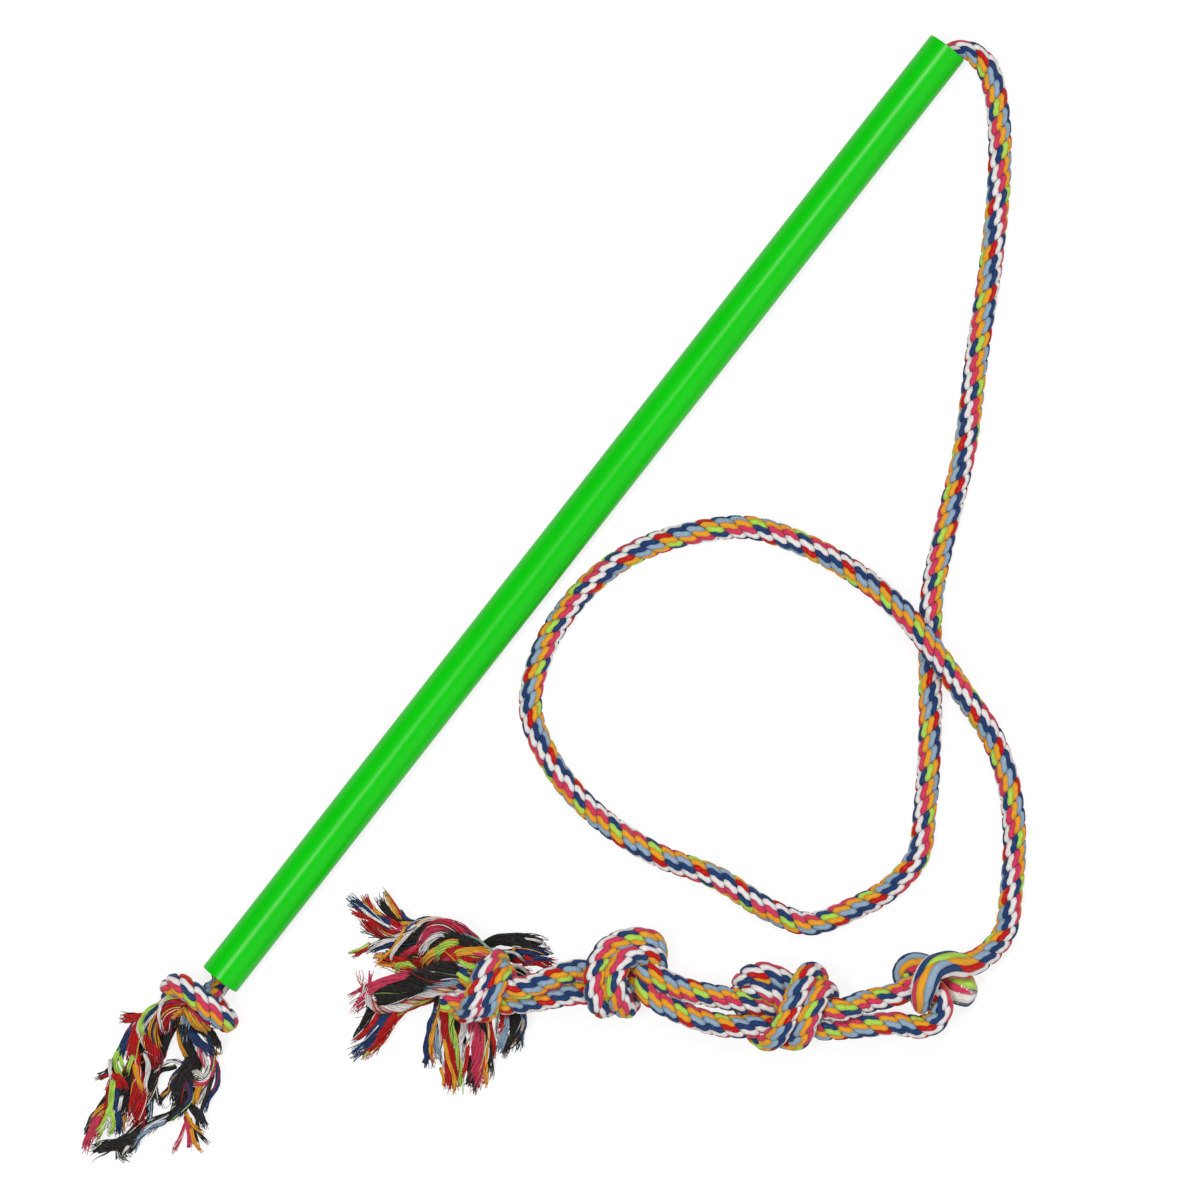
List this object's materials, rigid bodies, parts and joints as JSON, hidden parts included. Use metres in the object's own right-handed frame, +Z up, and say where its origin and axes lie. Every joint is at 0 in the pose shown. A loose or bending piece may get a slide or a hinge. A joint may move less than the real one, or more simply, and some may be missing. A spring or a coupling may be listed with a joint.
{
  "type": "dog flirt pole",
  "caption": "Straight plastic pipe with a multicoloured cotton rope through it: a stopper knot and tassel at the handle end, a long lead at the mouth, and a knotted tug toy hitched on.",
  "frame": {"origin": "on the axis of the pole, halfway along it", "axes": "+X along the pole from the handle end to the mouth that the lead leaves by, +Z up from the surface that it all lies on, +Y to the left of the pole"},
  "size_m": [0.8372, 0.3867, 0.0439],
  "materials": {
    "pole_plastic": "smooth bright green",
    "rope_cotton": "three-strand cotton rope in many colours",
    "strand_cotton": "unlaid cotton yarn in many colours, frayed",
    "clear_film": "clear shrunk film"
  },
  "bodies": {
    "pole": {"pole_tube": "pole_plastic"},
    "lead": {"lead_core": "rope_cotton", "handle_knot": "rope_cotton", "handle_tail_1": "strand_cotton", "handle_tail_2": "strand_cotton", "handle_tail_3": "strand_cotton", "lead_rope": "rope_cotton", "hitch_knot": "rope_cotton", "lead_tip": "rope_cotton", "lead_tip_film": "clear_film"},
    "toy": {"toy_bight": "rope_cotton", "middle_knot": "rope_cotton", "middle_leg_upper": "rope_cotton", "middle_leg_lower": "rope_cotton", "second_knot": "rope_cotton", "end_leg_upper": "rope_cotton", "end_leg_lower": "rope_cotton", "end_knot": "rope_cotton", "toy_tail_1": "strand_cotton", "toy_tail_2": "strand_cotton", "toy_tail_3": "strand_cotton", "toy_tail_4": "strand_cotton", "toy_tail_5": "strand_cotton", "toy_tail_6": "strand_cotton"}
  },
  "joints": [
    {"name": "lead_slide", "type": "slide", "parent": "pole", "child": "lead", "axis": [1, 0, 0], "range_m": [0, 0.007]},
    {"name": "toy_swing", "type": "hinge", "parent": "lead", "child": "toy", "pos_m": [-0.10665, -0.33647, 0.00856], "axis": [0, 0, 1], "range_deg": [-5, 90]}
  ]
}
